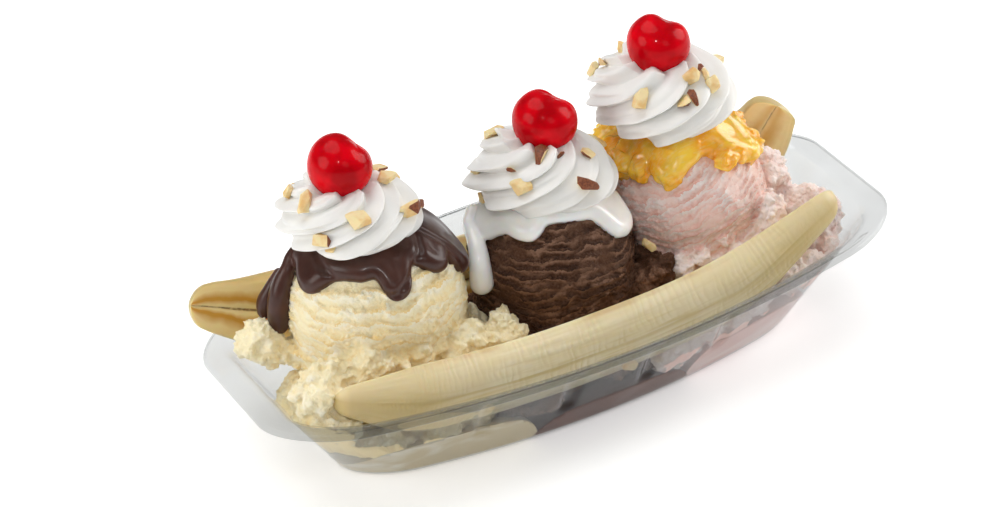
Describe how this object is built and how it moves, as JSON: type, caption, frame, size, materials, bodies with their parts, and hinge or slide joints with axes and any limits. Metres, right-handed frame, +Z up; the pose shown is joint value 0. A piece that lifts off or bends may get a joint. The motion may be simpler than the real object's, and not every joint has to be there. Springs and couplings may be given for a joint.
{
  "type": "banana split",
  "caption": "Banana split in a clear boat-shaped dish: vanilla, chocolate and strawberry ice cream between banana halves, with sauces, piped cream and cherries.",
  "frame": {"origin": "centre of the flat underside of the dish", "axes": "+X along the dish from the vanilla towards the strawberry, +Y towards the long wall behind, +Z up"},
  "size_m": [0.23, 0.1116, 0.1166],
  "materials": {
    "clear_plastic": "clear, glossy",
    "banana_flesh": "moist, satin",
    "vanilla_ice": "matt, ridged",
    "chocolate_ice": "matt, ridged",
    "strawberry_ice": "matt, ridged",
    "chocolate_sauce": "glossy",
    "marshmallow_sauce": "glossy",
    "pineapple": "glossy, wet",
    "whipped_cream": "satin",
    "cherry": "glossy"
  },
  "bodies": {
    "root": {"dish": "clear_plastic", "banana_front": "banana_flesh", "banana_back": "banana_flesh", "melt_vanilla": "vanilla_ice", "sauce_pool": "chocolate_sauce", "melt_strawberry": "strawberry_ice", "scoop_vanilla": "vanilla_ice", "scoop_chocolate": "chocolate_ice", "scoop_strawberry": "strawberry_ice", "sauce_chocolate": "chocolate_sauce", "sauce_marshmallow": "marshmallow_sauce", "topping_pineapple": "pineapple", "cream_left": "whipped_cream", "cream_middle": "whipped_cream", "cream_right": "whipped_cream", "cherry_left": "cherry", "cherry_middle": "cherry", "cherry_right": "cherry"}
  },
  "joints": []
}
